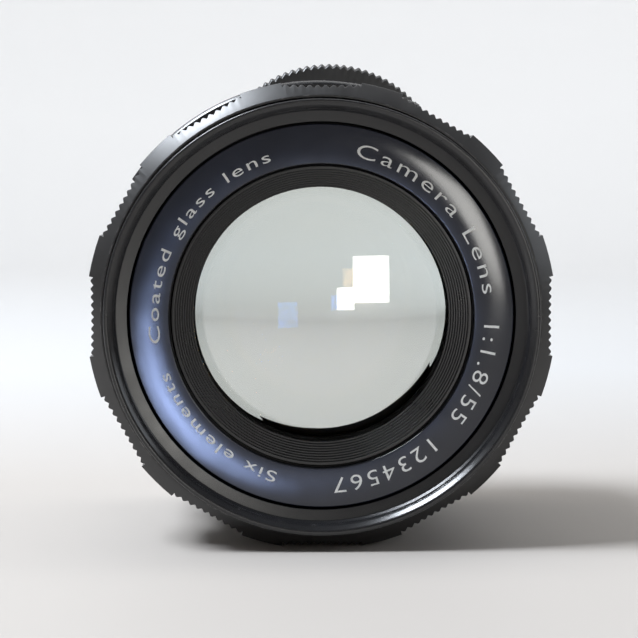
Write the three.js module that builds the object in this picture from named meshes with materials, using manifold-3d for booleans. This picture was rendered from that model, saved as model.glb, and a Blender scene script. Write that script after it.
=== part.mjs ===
// Standard 55 mm f/1.8 prime camera lens, all metal, with a 42 mm screw mount.
// Millimetres, +Z up. The optical axis runs along Y, the front rim faces -Y, and the lens lies on
// its side: the two lowest lands of the focus ring rest on z = 0.
// A station is a distance along the axis behind the front rim. An angle is measured about the axis
// from straight up (+Z) towards +X, in degrees.

import * as THREE from 'three';
import { mergeVertices } from 'three/addons/utils/BufferGeometryUtils.js';
import Module from 'manifold-3d';

// ---------- driving dimensions ----------

const OVERALL_LENGTH = 43.8;     // front rim to the tip of the stop-down pin
const FLANGE_STATION = 38.2;     // rear flange face, where the lens meets a camera
const GAP = 0.3;                 // clearance between pieces that meet or slide
const THIN_GAP = 0.1;            // cement layer between the two glued elements

// filter ring and name ring
const RIM_RADIUS = 25.4;
const FILTER_THREAD_RADIUS = 24.3;
const FILTER_THREAD_DEPTH = 3.4;
const FILTER_RING_LENGTH = 7.5;
const RIM_FLAT = 0.5;            // width of the lead-in at the mouth of the filter thread
const NAME_RING_OUTER = 22.6;
const NAME_RING_INNER = 18.0;
const NAME_RING_THICKNESS = 1.4;
const NAME_RING_SEAT = 0.1;      // how far the ring sits behind the end of the filter thread

// front baffle: a funnel of small steps down to the front glass
const BAFFLE_OUTER = 17.7;
const BAFFLE_INNER = 15.25;
const BAFFLE_FRONT = 4.2;
const BAFFLE_REAR = 7.2;
const BAFFLE_LIP = 0.5;
const BAFFLE_STEPS = 4;

// focus ring
const LAND_COUNT = 12;
const LAND_RADIUS = 27.8;
const LAND_HALF_ANGLE = 5.15;
const HOLLOW_RADIUS = 26.95;
const FOCUS_RING_FRONT = 3.0;
const FOCUS_GRIP_REAR = 13.4;
const FOCUS_RING_REAR = 22.3;
const FOCUS_BAND_RADIUS = 26.6;
const FOCUS_RING_BORE = 25.7;
const FOCUS_SCREW_STATION = 19.8;
const FOCUS_SCREW_RADIUS = 0.6;
const FOCUS_SCREW_START = 45;

// depth-of-field ring with its raised arc
const SCALE_RING_FRONT = FOCUS_RING_REAR + GAP;
const SCALE_RING_REAR = 25.8;
const SCALE_RING_RADIUS = 27.2;
const RAISED_ARC_RADIUS = 28.7;
const RAISED_ARC_START = -56;
const RAISED_ARC_END = 27;
const INDEX_ANGLE = (RAISED_ARC_START + RAISED_ARC_END) / 2;

// aperture ring with its ear
const APERTURE_RING_FRONT = SCALE_RING_REAR + GAP;
const APERTURE_BAND_REAR = 29.2;
const APERTURE_RING_REAR = 33.8;
const APERTURE_BAND_RADIUS = 26.6;
const APERTURE_GRIP_RADIUS = 27.3;
const EAR_RADIUS = 31.3;
const EAR_ANGLE = 5.5;
const OUTER_RING_BORE = 25.6;

// rear collar, mount flange and its screws
const COLLAR_FRONT = APERTURE_RING_REAR + GAP;
const COLLAR_RADIUS = 26.75;
const FLANGE_FRONT = 36.3;
const FLANGE_RADIUS = 25.3;
const MOUNT_THREAD_RADIUS = 21.0;
const MOUNT_THREAD_LENGTH = 4.5;
const MOUNT_BORE = 19.4;
const MOUNT_SCREW_CIRCLE = 23.2;
const MOUNT_SCREW_RADIUS = 0.9;
const SCREW_NUMBERS = [1, 2, 3];
const SCREW_TURN = 360 / SCREW_NUMBERS.length;

// auto/manual switch and stop-down pin
const SWITCH_ANGLE = -38;
const SWITCH_HALF_ANGLE = 4;
const SWITCH_OUTER = 28.2;
const SWITCH_LENGTH = 2.8;
const PIN_CIRCLE = 17.2;
const PIN_RADIUS = 0.9;
const PIN_FRONT = 36.2;
const PIN_ANGLE = 180 + INDEX_ANGLE;
const LEVER_PIVOT_ANGLE = PIN_ANGLE - 30;
const LEVER_INNER = 15.6;
const LEVER_OUTER = 17.7;
const LEVER_FRONT = 35.2;
const LEVER_THICKNESS = 0.7;
const REAR_BAFFLE_INNER = 15.4;
const REAR_BAFFLE_FRONT = 36.6;
const REAR_BAFFLE_REAR = 37.4;

// sleeves between the optical block and the focus ring
const INNER_BARREL_BORE = 21.2;
const INNER_BARREL_RADIUS = 22.4;
const INNER_BARREL_REAR = 31;
const GUIDE_BORE = 22.75;
const GUIDE_RADIUS = 23.5;
const GUIDE_FRONT = 9;
const HELICOID_BORE = 24.0;
const HELICOID_RADIUS = 25.3;
const HELICOID_REAR = 22.8;
const BASE_RADIUS = 25.3;
const BASE_BORE = 24.0;
const BASE_FRONT = 23.2;
const BASE_WALL_FRONT = 34.2;
const BASE_WALL_REAR = 36.0;
const BASE_OPENING = 18.3;
const KEY_WIDTH = 4;
const KEY_THICKNESS = 1.0;
const KEY_FRONT = 18;
const KEY_LENGTH = 6;
const DETENT_STATION = 31;
const DETENT_BALL_RADIUS = 0.55;
const DETENT_BALL_CIRCLE = 24.65;
const DETENT_HOLE_RADIUS = 0.9;

// cells that hold the glass
const CELL_RADIUS = 20.9;
const FRONT_CELL_FRONT = 5.2;
const FRONT_CELL_MOUTH = 8.2;    // bottom of the recess that takes the baffle
const FRONT_CELL_SHOULDER = 9;   // where the cell's flange ends and the iris housing begins
const FRONT_CELL_REAR = 22.8;
const REAR_CELL_FRONT = 26.5;
const REAR_CELL_LIP = 12.2;
const REAR_CELL_LIP_REAR = 27.5;
const REAR_CELL_FLANGE_REAR = 29.7;
const REAR_CELL_WAIST = 17.2;
const REAR_CELL_WAIST_REAR = 33;
const REAR_CELL_NOSE = 15.0;
const REAR_CELL_REAR = 43.4;
const SPACER_WALL = 0.6;         // radial thickness of the rings that hold the glass apart
const RETAINER_WALL = 0.7;
const RETAINER_LENGTH = 1.1;

// iris
const IRIS_PLATE_FRONT = 23.1;
const IRIS_PLATE_REAR = 23.5;
const IRIS_HOUSING_REAR = 30;
const IRIS_OPENING = 11.67;
const IRIS_FRONT_BORE = 17.9;
const IRIS_CHAMBER_BORE = 20.2;
const BLADE_COUNT = 6;
const BLADE_NUMBERS = Array.from({ length: BLADE_COUNT }, (_, i) => i + 1);
const BLADE_THICKNESS = 0.14;
const BLADE_PITCH = 0.3;
const BLADE_INNER = 11.95;
const BLADE_HEEL_RADIUS = 19.5;  // outer edge beside the blade's own pin
const BLADE_TAIL_RADIUS = 18.1;  // outer edge where the blade passes the next pin
const BLADE_HEEL_END = 52;
const BLADE_TAIL_START = 56;
const BLADE_SPAN = 105;
const BLADE_PIN_CIRCLE = 18.9;
const BLADE_PIN_RADIUS = 0.45;
const CAM_RING_FRONT = 25.65;
const CAM_RING_REAR = 26.2;

// Glass, front to back: vertex is the station of each surface on the axis, curve its radius of
// curvature (positive when its centre lies behind it), reach the height to which it is polished,
// and edge the radius of the ground rim.
const GLASS = {
  front_element: {
    edge: 15.9,
    front: { vertex: 5.6, curve: 42, reach: 15.9 },
    rear: { vertex: 9.5, curve: 60, reach: 15.9 },
  },
  second_element: {
    edge: 15.2,
    front: { vertex: 9.9, curve: 22, reach: 15.2 },
    rear: { vertex: 14.5, curve: 38, reach: 15.2 },
  },
  third_element: {
    edge: 13.6,
    front: { vertex: 15.6, curve: 40, reach: 13.6 },
    rear: { vertex: 17.1, curve: 25.7, reach: 12.9 },
  },
  fourth_element: {
    edge: 13.2,
    front: { vertex: 30.78, curve: -27.8, reach: 12.3 },
    rear: { vertex: 32.28, curve: 120, reach: 13.2 },
  },
  fifth_element: {
    edge: 13.2,
    front: { vertex: 32.28 + THIN_GAP, curve: 120, reach: 13.2 },
    rear: { vertex: 38.2, curve: -32.3, reach: 13.2 },
  },
  rear_element: {
    edge: 13.2,
    front: { vertex: 38.5, curve: 105, reach: 13.2 },
    rear: { vertex: 42.2, curve: -157, reach: 13.2 },
  },
};

// facets around each kind of turned piece
const OUTER_FACETS = 48;
const INNER_FACETS = 24;
const SCREW_FACETS = 10;
const GLASS_STEPS = 4;

// ---------- finishes ----------

const FINISHES = {
  black_metal: { color: 0x161618, roughness: 0.42, metalness: 0.6 },
  inner_metal: { color: 0x2a2a2c, roughness: 0.6, metalness: 0.7 },
  brass: { color: 0x9b7b3a, roughness: 0.4, metalness: 1.0 },
  steel: { color: 0x8f9196, roughness: 0.3, metalness: 1.0 },
  blade_steel: { color: 0x202226, roughness: 0.5, metalness: 0.8 },
  glass: { color: 0xdfe8e4, roughness: 0.03, metalness: 0.0, transparent: true, opacity: 0.35 },
};

// ---------- helpers ----------

const wasm = await Module();
wasm.setup();

const lens = new THREE.Group();
lens.name = 'prime_lens';
const restHeight = LAND_RADIUS * Math.cos(THREE.MathUtils.degToRad(180 / LAND_COUNT - LAND_HALF_ANGLE));
lens.position.set(0, -OVERALL_LENGTH / 2, restHeight);

function addPart(name, geometry, finish) {
  const mesh = new THREE.Mesh(geometry, new THREE.MeshStandardMaterial(FINISHES[finish]));
  mesh.name = name;
  lens.add(mesh);
}

// Evenly spaced angles all the way round, in degrees.
function evenAngles(count, start = 0) {
  return Array.from({ length: count }, (_, i) => start + (360 * i) / count);
}

// A ring with a closed profile of [radius, station] points, drawn front inner, front outer, rear
// outer, rear inner. A radius may be a function of the angle, for lands, ears and raised arcs.
function turnedRing(profile, angles = evenAngles(INNER_FACETS)) {
  const positions = [];
  for (const angle of angles) {
    const turn = THREE.MathUtils.degToRad(angle);
    for (const [radius, station] of profile) {
      const reach = typeof radius === 'function' ? radius(angle) : radius;
      positions.push(reach * Math.sin(turn), station, reach * Math.cos(turn));
    }
  }
  const corners = profile.length;
  const index = [];
  for (let i = 0; i < angles.length; i += 1) {
    const here = i * corners;
    const next = ((i + 1) % angles.length) * corners;
    for (let j = 0; j < corners; j += 1) {
      const k = (j + 1) % corners;
      index.push(here + j, next + k, here + k, here + j, next + j, next + k);
    }
  }
  const geometry = new THREE.BufferGeometry();
  geometry.setAttribute('position', new THREE.Float32BufferAttribute(positions, 3));
  geometry.setIndex(index);
  return geometry;
}

// A plain ring between two radii and two stations.
function plainRing(inner, outer, front, rear, angles) {
  return turnedRing([[inner, front], [outer, front], [outer, rear], [inner, rear]], angles);
}

// A flat outline in the plane across the axis, given thickness along the axis.
function plate(outline, front, thickness) {
  const shape = new THREE.Shape(outline);
  const geometry = new THREE.ExtrudeGeometry(shape, { depth: thickness, bevelEnabled: false });
  geometry.rotateX(Math.PI / 2);
  geometry.translate(0, front + thickness, 0);
  return geometry;
}

// A point across the axis, from its radius and its angle.
function polar(radius, angle) {
  const turn = THREE.MathUtils.degToRad(angle);
  return new THREE.Vector2(radius * Math.sin(turn), radius * Math.cos(turn));
}

// Points along an arc across the axis, both ends included.
function arcPoints(radius, start, end, steps) {
  return Array.from({ length: steps + 1 }, (_, i) => polar(radius, start + ((end - start) * i) / steps));
}

// A cylinder parallel to the axis.
function axialPin(radius, circle, angle, front, rear) {
  const geometry = new THREE.CylinderGeometry(radius, radius, rear - front, SCREW_FACETS);
  const centre = polar(circle, angle);
  geometry.translate(centre.x, (front + rear) / 2, centre.y);
  return geometry;
}

// A cylinder that points straight out from the axis.
function radialPin(radius, angle, station, inner, outer) {
  const geometry = new THREE.CylinderGeometry(radius, radius, outer - inner, SCREW_FACETS);
  geometry.translate(0, (inner + outer) / 2, 0);
  geometry.rotateX(Math.PI / 2);
  geometry.translate(0, station, 0);
  geometry.rotateY(THREE.MathUtils.degToRad(angle));
  return geometry;
}

function toSolid(geometry) {
  const bare = geometry.clone();
  bare.deleteAttribute('normal');
  bare.deleteAttribute('uv');
  const merged = mergeVertices(bare);
  return new wasm.Manifold(new wasm.Mesh({
    numProp: 3,
    vertProperties: new Float32Array(merged.attributes.position.array),
    triVerts: new Uint32Array(merged.index.array),
  }));
}

function toGeometry(solid) {
  const mesh = solid.getMesh();
  const geometry = new THREE.BufferGeometry();
  geometry.setAttribute('position', new THREE.Float32BufferAttribute(mesh.vertProperties, 3));
  geometry.setIndex(Array.from(mesh.triVerts));
  return geometry;
}

function cut(geometry, cutters) {
  return toGeometry(cutters.reduce((solid, cutter) => solid.subtract(toSolid(cutter)), toSolid(geometry)));
}

// How far a lens surface bends back from its vertex at a height above the axis.
function sag(curve, height) {
  return curve - Math.sign(curve) * Math.sqrt(curve * curve - height * height);
}

// The station of a polished surface at a height above the axis.
function stationOf({ vertex, curve }, height) {
  return vertex + sag(curve, height);
}

function surfacePoints(surface) {
  return Array.from({ length: GLASS_STEPS + 1 }, (_, i) => {
    const height = (surface.reach * i) / GLASS_STEPS;
    return new THREE.Vector2(height, stationOf(surface, height));
  });
}

function glassElement({ edge, front, rear }) {
  const frontPoints = surfacePoints(front);
  const rearPoints = surfacePoints(rear);
  const rim = [];
  if (front.reach < edge) {
    rim.push(new THREE.Vector2(edge, frontPoints.at(-1).y));
  }
  if (rear.reach < edge) {
    rim.push(new THREE.Vector2(edge, rearPoints.at(-1).y));
  }
  return new THREE.LatheGeometry([...frontPoints, ...rim, ...rearPoints.reverse()], INNER_FACETS);
}

// ---------- front group, carried by the inner barrel ----------

function filterRing() {
  const seatBore = NAME_RING_OUTER + GAP;
  return turnedRing([
    [FILTER_THREAD_RADIUS, RIM_FLAT],
    [FILTER_THREAD_RADIUS + RIM_FLAT, 0],
    [RIM_RADIUS - 0.1, 0],
    [RIM_RADIUS, 0.2],
    [RIM_RADIUS, FILTER_RING_LENGTH],
    [seatBore, FILTER_RING_LENGTH],
    [seatBore, FILTER_THREAD_DEPTH],
    [FILTER_THREAD_RADIUS, FILTER_THREAD_DEPTH],
  ], evenAngles(OUTER_FACETS));
}

function nameRing() {
  const front = FILTER_THREAD_DEPTH + NAME_RING_SEAT;
  return plainRing(NAME_RING_INNER, NAME_RING_OUTER, front, front + NAME_RING_THICKNESS, evenAngles(OUTER_FACETS));
}

function frontBaffle() {
  const treads = [];
  for (let step = 0; step <= BAFFLE_STEPS; step += 1) {
    const share = step / BAFFLE_STEPS;
    const radius = BAFFLE_INNER + (BAFFLE_OUTER - BAFFLE_LIP - BAFFLE_INNER) * share;
    const station = BAFFLE_REAR - BAFFLE_LIP - (BAFFLE_REAR - BAFFLE_LIP - BAFFLE_FRONT) * share;
    treads.push([radius, station]);
  }
  return turnedRing([...treads, [BAFFLE_OUTER, BAFFLE_FRONT], [BAFFLE_OUTER, BAFFLE_REAR],
    [BAFFLE_INNER, BAFFLE_REAR]]);
}

// Each element rests its rear edge near a step in the bore.
function frontCell() {
  const { front_element: first, second_element: second, third_element: third } = GLASS;
  const mouth = BAFFLE_OUTER + 0.2;
  const outer = IRIS_FRONT_BORE - GAP;
  const firstSeat = stationOf(first.rear, first.edge) + GAP;
  const secondSeat = stationOf(second.rear, second.edge) + GAP;
  return turnedRing([
    [mouth, FRONT_CELL_FRONT],
    [CELL_RADIUS, FRONT_CELL_FRONT],
    [CELL_RADIUS, FRONT_CELL_SHOULDER],
    [outer, FRONT_CELL_SHOULDER],
    [outer, FRONT_CELL_REAR],
    [third.edge + GAP, FRONT_CELL_REAR],
    [third.edge + GAP, secondSeat],
    [second.edge + GAP, secondSeat],
    [second.edge + GAP, firstSeat],
    [first.edge + GAP, firstSeat],
    [first.edge + GAP, FRONT_CELL_MOUTH],
    [mouth, FRONT_CELL_MOUTH],
  ]);
}

// A ring between two elements, short of both polished surfaces.
function glassSpacer(before, after) {
  const outer = Math.min(before.edge, after.edge);
  const inner = outer - SPACER_WALL;
  const front = Math.max(stationOf(before.rear, inner), stationOf(before.rear, outer)) + GAP;
  const rear = Math.min(stationOf(after.front, inner), stationOf(after.front, outer)) - GAP;
  return plainRing(inner, outer, front, rear);
}

function addFrontGroup() {
  addPart('filter_ring', filterRing(), 'black_metal');
  addPart('name_ring', nameRing(), 'black_metal');
  addPart('front_baffle', frontBaffle(), 'black_metal');
  addPart('front_cell', frontCell(), 'inner_metal');
  addPart('front_spacer', glassSpacer(GLASS.front_element, GLASS.second_element), 'inner_metal');
  for (const [name, shape] of Object.entries(GLASS)) {
    addPart(name, glassElement(shape), 'glass');
  }
}

// ---------- iris ----------

function irisHousing() {
  const front = FRONT_CELL_SHOULDER + GAP;
  return turnedRing([
    [IRIS_FRONT_BORE, front],
    [CELL_RADIUS, front],
    [CELL_RADIUS, IRIS_HOUSING_REAR],
    [IRIS_CHAMBER_BORE, IRIS_HOUSING_REAR],
    [IRIS_CHAMBER_BORE, IRIS_PLATE_REAR],
    [IRIS_OPENING, IRIS_PLATE_REAR],
    [IRIS_OPENING, IRIS_PLATE_FRONT],
    [IRIS_FRONT_BORE, IRIS_PLATE_FRONT],
  ]);
}

// A crescent blade drawn wide open, with its pivot pin straight up. Its heel is broad, and its tail
// is slimmer where it has to pass the next blade's pin.
function irisBlade(number) {
  const front = IRIS_PLATE_REAR + 0.2 + BLADE_PITCH * (number - 1);
  const outline = [
    ...arcPoints(BLADE_INNER, -4, BLADE_SPAN - 4, 8),
    polar((BLADE_INNER + BLADE_TAIL_RADIUS) / 2, BLADE_SPAN),
    ...arcPoints(BLADE_TAIL_RADIUS, BLADE_SPAN - 4, BLADE_TAIL_START, 4),
    ...arcPoints(BLADE_HEEL_RADIUS, BLADE_HEEL_END, -2, 5),
  ].reverse();
  const pin = axialPin(BLADE_PIN_RADIUS, BLADE_PIN_CIRCLE, 0, IRIS_PLATE_REAR + 0.1, CAM_RING_FRONT - 0.1);
  const blade = toGeometry(toSolid(plate(outline, front, BLADE_THICKNESS)).add(toSolid(pin)));
  blade.rotateY(THREE.MathUtils.degToRad((360 / BLADE_COUNT) * (number - 1)));
  return blade;
}

function addIris() {
  addPart('iris_housing', irisHousing(), 'inner_metal');
  for (const number of BLADE_NUMBERS) {
    addPart(`iris_blade_${number}`, irisBlade(number), 'blade_steel');
  }
  const camRing = plainRing(BLADE_INNER, IRIS_CHAMBER_BORE - 0.5, CAM_RING_FRONT, CAM_RING_REAR);
  addPart('iris_cam_ring', camRing, 'brass');
}

// ---------- rear group ----------

function rearCell() {
  const flange = IRIS_CHAMBER_BORE - GAP;
  const bore = GLASS.fourth_element.edge + GAP;
  const chamfer = 0.6;
  return turnedRing([
    [REAR_CELL_LIP, REAR_CELL_FRONT],
    [flange, REAR_CELL_FRONT],
    [flange, REAR_CELL_FLANGE_REAR],
    [REAR_CELL_WAIST, REAR_CELL_FLANGE_REAR],
    [REAR_CELL_WAIST, REAR_CELL_WAIST_REAR],
    [REAR_CELL_NOSE, REAR_CELL_WAIST_REAR],
    [REAR_CELL_NOSE, REAR_CELL_REAR - chamfer],
    [REAR_CELL_NOSE - chamfer, REAR_CELL_REAR],
    [bore, REAR_CELL_REAR],
    [bore, REAR_CELL_LIP_REAR],
    [REAR_CELL_LIP, REAR_CELL_LIP_REAR],
  ]);
}

function rearRetainer() {
  const { rear, edge } = GLASS.rear_element;
  const inner = edge - RETAINER_WALL;
  const front = stationOf(rear, inner) + GAP;
  return plainRing(inner, edge, front, front + RETAINER_LENGTH);
}

function addRearGroup() {
  addPart('rear_cell', rearCell(), 'black_metal');
  addPart('rear_spacer', glassSpacer(GLASS.fifth_element, GLASS.rear_element), 'inner_metal');
  addPart('rear_retainer', rearRetainer(), 'black_metal');
}

// ---------- sleeves and helicoid ----------

function innerBarrel() {
  const sleeve = plainRing(INNER_BARREL_BORE, INNER_BARREL_RADIUS, FRONT_CELL_FRONT + 0.1, INNER_BARREL_REAR);
  const slots = [-1, 1].map((side) => {
    const slot = new THREE.BoxGeometry(4 * KEY_THICKNESS, INNER_BARREL_REAR, KEY_WIDTH + 2 * GAP);
    return slot.translate(side * INNER_BARREL_RADIUS, KEY_FRONT - 0.5 + INNER_BARREL_REAR / 2, 0);
  });
  return cut(sleeve, slots);
}

function guideKey(side) {
  const key = new THREE.BoxGeometry(KEY_THICKNESS, KEY_LENGTH, KEY_WIDTH);
  const centre = (INNER_BARREL_BORE + INNER_BARREL_RADIUS) / 2 + 0.1;
  return key.translate(side * centre, KEY_FRONT + KEY_LENGTH / 2, 0);
}

function addSleeves() {
  addPart('inner_barrel', innerBarrel(), 'inner_metal');
  addPart('guide_barrel', plainRing(GUIDE_BORE, GUIDE_RADIUS, GUIDE_FRONT, BASE_WALL_FRONT - GAP), 'inner_metal');
  addPart('guide_key_left', guideKey(-1), 'steel');
  addPart('guide_key_right', guideKey(1), 'steel');
  addPart('helicoid_ring', plainRing(HELICOID_BORE, HELICOID_RADIUS, GUIDE_FRONT, HELICOID_REAR), 'brass');
}

// ---------- focus ring ----------

// Radius of the grip: a flat land, then a shallow knurled hollow, repeated round the ring.
function gripRadius(angle) {
  const pitch = 360 / LAND_COUNT;
  const fromLand = Math.abs(((angle % pitch) + pitch) % pitch - pitch / 2);
  if (fromLand <= LAND_HALF_ANGLE + 0.01) {
    return LAND_RADIUS;
  }
  const across = (fromLand - LAND_HALF_ANGLE) / (pitch / 2 - LAND_HALF_ANGLE);
  const dip = LAND_RADIUS - HOLLOW_RADIUS;
  return LAND_RADIUS - dip * (0.45 + 0.55 * Math.sin((across * Math.PI) / 2));
}

function gripAngles() {
  const pitch = 360 / LAND_COUNT;
  const offsets = [-LAND_HALF_ANGLE, 0, LAND_HALF_ANGLE, LAND_HALF_ANGLE + 0.8, 10, 15, 20,
    pitch - LAND_HALF_ANGLE - 0.8];
  return evenAngles(LAND_COUNT, pitch / 2).flatMap((centre) => offsets.map((offset) => centre + offset));
}

function focusScrewAngle(number) {
  return FOCUS_SCREW_START + SCREW_TURN * (number - 1);
}

function focusRing() {
  const chamfer = 0.4;
  const ring = turnedRing([
    [FOCUS_RING_BORE, FOCUS_RING_FRONT],
    [(angle) => gripRadius(angle) - chamfer, FOCUS_RING_FRONT],
    [gripRadius, FOCUS_RING_FRONT + chamfer],
    [gripRadius, FOCUS_GRIP_REAR - chamfer],
    [FOCUS_BAND_RADIUS, FOCUS_GRIP_REAR],
    [FOCUS_BAND_RADIUS, FOCUS_RING_REAR],
    [FOCUS_RING_BORE, FOCUS_RING_REAR],
  ], gripAngles());
  const holes = SCREW_NUMBERS.map((number) => radialPin(FOCUS_SCREW_RADIUS + GAP, focusScrewAngle(number),
    FOCUS_SCREW_STATION, FOCUS_RING_BORE - 1, LAND_RADIUS));
  return cut(ring, holes);
}

function addFocusGroup() {
  addPart('focus_ring', focusRing(), 'black_metal');
  for (const number of SCREW_NUMBERS) {
    const screw = radialPin(FOCUS_SCREW_RADIUS, focusScrewAngle(number), FOCUS_SCREW_STATION,
      HELICOID_RADIUS + 0.1, FOCUS_BAND_RADIUS - 0.15);
    addPart(`focus_screw_${number}`, screw, 'steel');
  }
}

// ---------- fixed body ----------

function raisedArcRadius(angle) {
  const turned = angle > 180 ? angle - 360 : angle;
  const inside = turned >= RAISED_ARC_START - 0.01 && turned <= RAISED_ARC_END + 0.01;
  return inside ? RAISED_ARC_RADIUS : SCALE_RING_RADIUS;
}

function depthScaleRing() {
  const edge = 0.5;
  const arcEnds = [360 + RAISED_ARC_START - edge, 360 + RAISED_ARC_START, RAISED_ARC_END, RAISED_ARC_END + edge];
  const angles = [...evenAngles(OUTER_FACETS, 1), ...arcEnds].sort((a, b) => a - b);
  const chamfer = 0.4;
  return turnedRing([
    [OUTER_RING_BORE, SCALE_RING_FRONT],
    [(angle) => raisedArcRadius(angle) - chamfer, SCALE_RING_FRONT],
    [raisedArcRadius, SCALE_RING_FRONT + chamfer],
    [raisedArcRadius, SCALE_RING_REAR - chamfer],
    [(angle) => raisedArcRadius(angle) - chamfer, SCALE_RING_REAR],
    [OUTER_RING_BORE, SCALE_RING_REAR],
  ], angles);
}

function baseBarrel() {
  const barrel = turnedRing([
    [BASE_BORE, BASE_FRONT],
    [BASE_RADIUS, BASE_FRONT],
    [BASE_RADIUS, BASE_WALL_REAR],
    [BASE_OPENING, BASE_WALL_REAR],
    [BASE_OPENING, BASE_WALL_FRONT],
    [BASE_BORE, BASE_WALL_FRONT],
  ], evenAngles(OUTER_FACETS));
  const hole = radialPin(DETENT_HOLE_RADIUS, INDEX_ANGLE, DETENT_STATION, BASE_BORE - 1, BASE_RADIUS + 1);
  return cut(barrel, [hole]);
}

function detentBall() {
  const ball = new THREE.SphereGeometry(DETENT_BALL_RADIUS, 8, 6);
  const centre = polar(DETENT_BALL_CIRCLE, INDEX_ANGLE);
  return ball.translate(centre.x, DETENT_STATION, centre.y);
}

// The collar stops just short of the flange face, so that only the flange meets the camera.
function rearCollar() {
  const rear = FLANGE_STATION - 0.1;
  const chamfer = 0.7;
  return turnedRing([
    [OUTER_RING_BORE, COLLAR_FRONT],
    [COLLAR_RADIUS, COLLAR_FRONT],
    [COLLAR_RADIUS, rear - chamfer],
    [COLLAR_RADIUS - chamfer, rear],
    [OUTER_RING_BORE, rear],
  ], evenAngles(OUTER_FACETS));
}

function mountScrewAngle(number) {
  return INDEX_ANGLE + SCREW_TURN * (number - 1);
}

function mountFlange() {
  const threadEnd = FLANGE_STATION + MOUNT_THREAD_LENGTH;
  const chamfer = 0.5;
  const flange = turnedRing([
    [MOUNT_BORE, FLANGE_FRONT],
    [FLANGE_RADIUS, FLANGE_FRONT],
    [FLANGE_RADIUS, FLANGE_STATION],
    [MOUNT_THREAD_RADIUS, FLANGE_STATION],
    [MOUNT_THREAD_RADIUS, threadEnd - chamfer],
    [MOUNT_THREAD_RADIUS - chamfer, threadEnd],
    [MOUNT_BORE, threadEnd],
  ], evenAngles(OUTER_FACETS));
  const holes = SCREW_NUMBERS.map((number) => axialPin(MOUNT_SCREW_RADIUS + GAP, MOUNT_SCREW_CIRCLE,
    mountScrewAngle(number), FLANGE_FRONT - 1, FLANGE_STATION + 1));
  return cut(flange, holes);
}

function rearBaffle() {
  const ring = plainRing(REAR_BAFFLE_INNER, MOUNT_BORE - GAP, REAR_BAFFLE_FRONT, REAR_BAFFLE_REAR,
    evenAngles(OUTER_FACETS));
  const hole = axialPin(PIN_RADIUS + GAP, PIN_CIRCLE, PIN_ANGLE, REAR_BAFFLE_FRONT - 1, REAR_BAFFLE_REAR + 1);
  return cut(ring, [hole]);
}

function addFixedBody() {
  addPart('depth_scale_ring', depthScaleRing(), 'black_metal');
  addPart('base_barrel', baseBarrel(), 'inner_metal');
  addPart('aperture_detent_ball', detentBall(), 'steel');
  addPart('rear_collar', rearCollar(), 'black_metal');
  addPart('mount_flange', mountFlange(), 'steel');
  addPart('rear_baffle', rearBaffle(), 'black_metal');
  for (const number of SCREW_NUMBERS) {
    const screw = axialPin(MOUNT_SCREW_RADIUS, MOUNT_SCREW_CIRCLE, mountScrewAngle(number),
      FLANGE_FRONT + 0.1, FLANGE_STATION - 0.1);
    addPart(`mount_screw_${number}`, screw, 'steel');
  }
}

// ---------- controls ----------

// The ear is a round lobe: its circle passes through the axis, so its reach falls as a cosine.
function earRadius(angle) {
  const lobe = EAR_RADIUS * Math.cos(THREE.MathUtils.degToRad(angle - EAR_ANGLE));
  return Math.max(APERTURE_GRIP_RADIUS, lobe);
}

function apertureRing() {
  const chamfer = 0.3;
  return turnedRing([
    [OUTER_RING_BORE, APERTURE_RING_FRONT],
    [APERTURE_BAND_RADIUS, APERTURE_RING_FRONT],
    [APERTURE_BAND_RADIUS, APERTURE_BAND_REAR],
    [(angle) => earRadius(angle) - chamfer, APERTURE_BAND_REAR],
    [earRadius, APERTURE_BAND_REAR + chamfer],
    [earRadius, APERTURE_RING_REAR - chamfer],
    [(angle) => earRadius(angle) - chamfer, APERTURE_RING_REAR],
    [OUTER_RING_BORE, APERTURE_RING_REAR],
  ], evenAngles(72, EAR_ANGLE));
}

function modeSwitch() {
  const inner = COLLAR_RADIUS + GAP;
  const start = SWITCH_ANGLE - SWITCH_HALF_ANGLE;
  const end = SWITCH_ANGLE + SWITCH_HALF_ANGLE;
  const outline = [...arcPoints(inner, start, end, 4), ...arcPoints(SWITCH_OUTER, end, start, 4)].reverse();
  return plate(outline, COLLAR_FRONT + 0.4, SWITCH_LENGTH);
}

// The stop-down pin pushes the far end of this curved lever, which tilts about a radial pivot.
function stopDownLever() {
  const start = LEVER_PIVOT_ANGLE - 5;
  const end = PIN_ANGLE + 3;
  const outline = [...arcPoints(LEVER_INNER, start, end, 6), ...arcPoints(LEVER_OUTER, end, start, 6)].reverse();
  return plate(outline, LEVER_FRONT, LEVER_THICKNESS);
}

function addControls() {
  addPart('aperture_ring', apertureRing(), 'black_metal');
  addPart('mode_switch', modeSwitch(), 'black_metal');
  addPart('stop_down_pin', axialPin(PIN_RADIUS, PIN_CIRCLE, PIN_ANGLE, PIN_FRONT, OVERALL_LENGTH), 'steel');
  addPart('stop_down_lever', stopDownLever(), 'steel');
}

addFrontGroup();
addIris();
addRearGroup();
addSleeves();
addFocusGroup();
addFixedBody();
addControls();

export default lens;
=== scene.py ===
"""Visual model of a standard prime camera lens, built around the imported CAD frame.

Every piece is drawn about the lens's own axis, in millimetres: a station is the distance behind the
front rim, and an angle is measured from straight up towards +X, in degrees, as seen from the front.
"""
import math

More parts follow.
